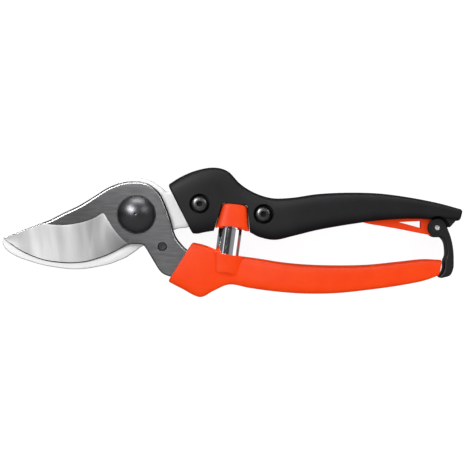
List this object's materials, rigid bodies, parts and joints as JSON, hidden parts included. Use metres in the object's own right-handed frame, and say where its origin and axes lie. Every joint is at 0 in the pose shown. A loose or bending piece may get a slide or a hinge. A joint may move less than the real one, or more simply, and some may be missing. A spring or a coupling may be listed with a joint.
{
  "type": "pruning shears",
  "caption": "Bypass hand pruner with curved cutting blade, hooked counter-blade, moulded handles, volute spring and tail latch.",
  "frame": {"origin": "on the blades' pivot axis, at the rear end face of the pivot bolt, which is level with the surface the shears lie on", "axes": "+X along the tool from the blades' tip towards the handles' tails, +Y from the lower (orange) handle towards the upper (black) one, +Z along the pivot from the nut to the domed head"},
  "size_m": [0.214, 0.0602, 0.0177],
  "materials": {
    "blade_steel": "bead-blasted dark flat with a bright ground bevel",
    "counter_steel": "bright satin ground steel",
    "dark_steel": "black oxide, turned",
    "plain_steel": "zinc-plated steel",
    "spring_chrome": "bright chromed spring strip",
    "orange_plastic": "satin moulded nylon",
    "black_cover": "fine-textured soft cover",
    "latch_plastic": "fine-textured moulding"
  },
  "bodies": {
    "upper_half": {"counter_blade": "counter_steel", "pivot_bolt": "dark_steel", "pivot_washer": "dark_steel", "pivot_spring_washer": "plain_steel", "pivot_nut": "plain_steel", "upper_handle_core": "orange_plastic", "upper_grip": "black_cover", "front_handle_screw": "dark_steel", "rear_handle_screw": "dark_steel", "front_screw_nut": "plain_steel", "rear_screw_nut": "plain_steel", "volute_spring": "spring_chrome", "latch_pin": "plain_steel"},
    "lower_half": {"cutting_blade": "blade_steel", "stop_pin": "blade_steel", "lower_handle": "orange_plastic"},
    "latch_fork": {"latch": "latch_plastic"}
  },
  "joints": [
    {"name": "blade_pivot", "type": "hinge", "parent": "upper_half", "child": "lower_half", "pos_m": [0, 0, 0.00885], "axis": [0, 0, -1], "range_deg": [0, 39], "deforming": ["volute_spring"]},
    {"name": "latch_pivot", "type": "hinge", "parent": "upper_half", "child": "latch_fork", "pos_m": [0.1398, -0.0064, 0.00885], "axis": [0, 0, 1], "range_deg": [0, 20]}
  ]
}
